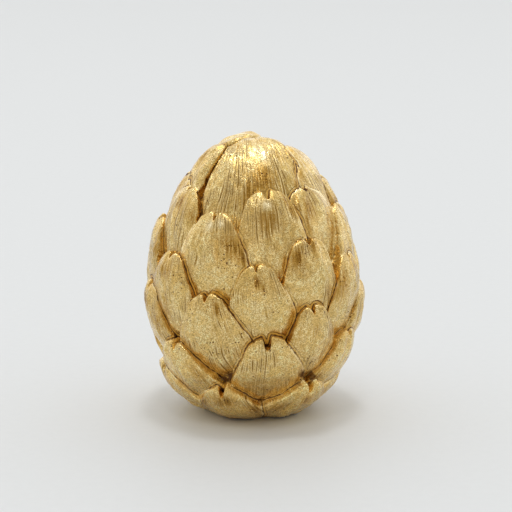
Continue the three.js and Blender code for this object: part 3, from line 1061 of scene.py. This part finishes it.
def antiqueGold():
    material, tree = blankMaterial("antiqueGold")
    on = patternsOn(tree)
    on.lines, on.stroke, on.ruled, on.ridge = combMarks(tree, on)
    on.tint, on.facet = leafFacets(tree, on)
    on.fine = weighted(
        tree, (on.leafGrain, 0.60), (on.dashes, 0.40), (on.lines, 1.0), (on.tint, 0.42))
    on.pit = pitMarks(tree, on)
    on.glaze = glazeFilm(tree, on)
    on.blotch = stainBlotch(tree, on)
    on.soot = sootMask(tree, on)
    on.strike = most(tree, times(tree, on.stroke, 0.5), times(tree, on.ruled, 0.95))
    # painted highlights, where the stain channel is below 0
    on.rub = remap(tree, on.stain, 0.0, -0.8)
    on.rub = times(tree, on.rub, remap(tree, on.fine, 0.50, 0.85, 0.35, 1.0))
    relief = {"Strength": 1.0, "Distance": mm, "Height": leafRelief(tree, on)}
    bare = most(tree, on.soot, on.strike)  # no lacquer shines in the dark lines
    finishMaterial(tree, {
        "Base Color": agedColour(tree, on),
        "Metallic": remap(tree, on.glaze, 0.3, 1.0, 1.0, 0.1),
        "Roughness": agedRoughness(tree, on),
        "Normal": addNode(tree, "ShaderNodeBump", relief).outputs[0],
        "Coat Weight": remap(tree, bare, 0.0, 0.5, gilding["lacquer"], 0.0),
        "Coat Roughness": gilding["lacquerRoughness"],
    })
    return material


artichoke.data.materials.clear()
artichoke.data.materials.append(antiqueGold())
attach(artichoke, "root")
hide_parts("artichoke")
print("gilded")

# The table, the light and the camera
studio = {
    "floorColour": (0.70, 0.718, 0.735, 1),
    "floorHalf": 6,
    "skyColour": (0.97, 0.985, 1.0, 1),
    "roomColour": (1.0, 0.90, 0.70, 1),
    "skyLow": 0.94,
    "skyHigh": 0.98,
    "roomSide": 0.52,  # the side behind the camera is darker
    "backSide": 0.35,  # and the side behind the ornament brighter
    "softboxPlace": (0.05, 0.1, 3.0),
    "softboxSize": 0.45,
    "softboxPower": 13.0,
    "windowPlace": (-0.15, -1.2, 2.7),  # high in front, it glints on the bracts' shoulders
    "windowSize": 0.35,
    "windowPower": 4.0,
    "cardPlace": (-0.15, -1.2, 0.2),  # a card low in front lights the undersides
    "cardSize": 0.6,
    "cardPower": 0.5,
    "cameraDistance": 0.700,
    "cameraElevation": 14.0,
    "aimHeight": 0.0525,
    "lens": 128.07,
    "shift": (0.0051, 0.0352),
}


def paleFloor():
    material, tree = blankMaterial("paleFloor")
    place = addNode(tree, "ShaderNodeTexCoord").outputs["Object"]
    colour = studio["floorColour"]
    darker = [c * 0.985 for c in colour[:3]] + [1]
    shade = blendColour(tree, remap(tree, noise(tree, place, 300), 0.3, 0.7), colour, darker)
    finishMaterial(tree, {"Base Color": shade, "Roughness": 0.6})
    return material


def layFloor():
    bm = bmesh.new()
    bmesh.ops.create_grid(bm, x_segments=8, y_segments=8, size=studio["floorHalf"])
    floor = bpy.data.objects.new("floor", meshFrom(bm, "floor"))
    intoScene(floor)
    floor.data.materials.append(paleFloor())


def lightStudio():
    world = bpy.data.worlds.new("studio")
    bpy.context.scene.world = world
    world.use_nodes = True
    tree = world.node_tree
    _, back, up = xyz(tree, addNode(tree, "ShaderNodeTexCoord").outputs["Generated"])
    front = remap(tree, back, -0.85, 0.1)  # 0 behind the camera, 1 from beside the ornament on
    sides = plus(
        tree, remap(tree, front, 0.0, 1.0, studio["roomSide"], 1.0),
        remap(tree, back, 0.1, 0.9, 0.0, studio["backSide"]))
    sky = remap(tree, up, 0.0, 0.8, studio["skyLow"], studio["skyHigh"])
    tint = blendColour(tree, front, studio["roomColour"], studio["skyColour"])
    background = tree.nodes["Background"]
    tree.links.new(tint, background.inputs["Color"])
    tree.links.new(times(tree, sky, sides), background.inputs["Strength"])
    for name in ("softbox", "window", "card"):
        light = bpy.data.lights.new(name, "AREA")
        light.size, light.energy = studio[name + "Size"], studio[name + "Power"]
        lamp = bpy.data.objects.new(name, light)
        lamp.location = studio[name + "Place"]
        lamp.rotation_euler = (-lamp.location).to_track_quat("-Z", "Y").to_euler()
        intoScene(lamp)


def placeCamera():
    camera = bpy.data.cameras.new("camera")
    camera.lens = studio["lens"]
    camera.sensor_width = 36
    camera.shift_x, camera.shift_y = studio["shift"]
    camera.clip_start, camera.clip_end = 0.01, 20
    eye = bpy.data.objects.new("camera", camera)
    tilt = math.radians(studio["cameraElevation"])
    aim = Vector((0, 0, studio["aimHeight"]))
    eye.location = aim + Vector((0, -math.cos(tilt), math.sin(tilt))) * studio["cameraDistance"]
    eye.rotation_euler = (aim - eye.location).to_track_quat("-Z", "Y").to_euler()
    intoScene(eye)
    bpy.context.scene.camera = eye


layFloor()
lightStudio()
placeCamera()
bpy.context.scene.view_settings.view_transform = "Standard"
print("studio set")
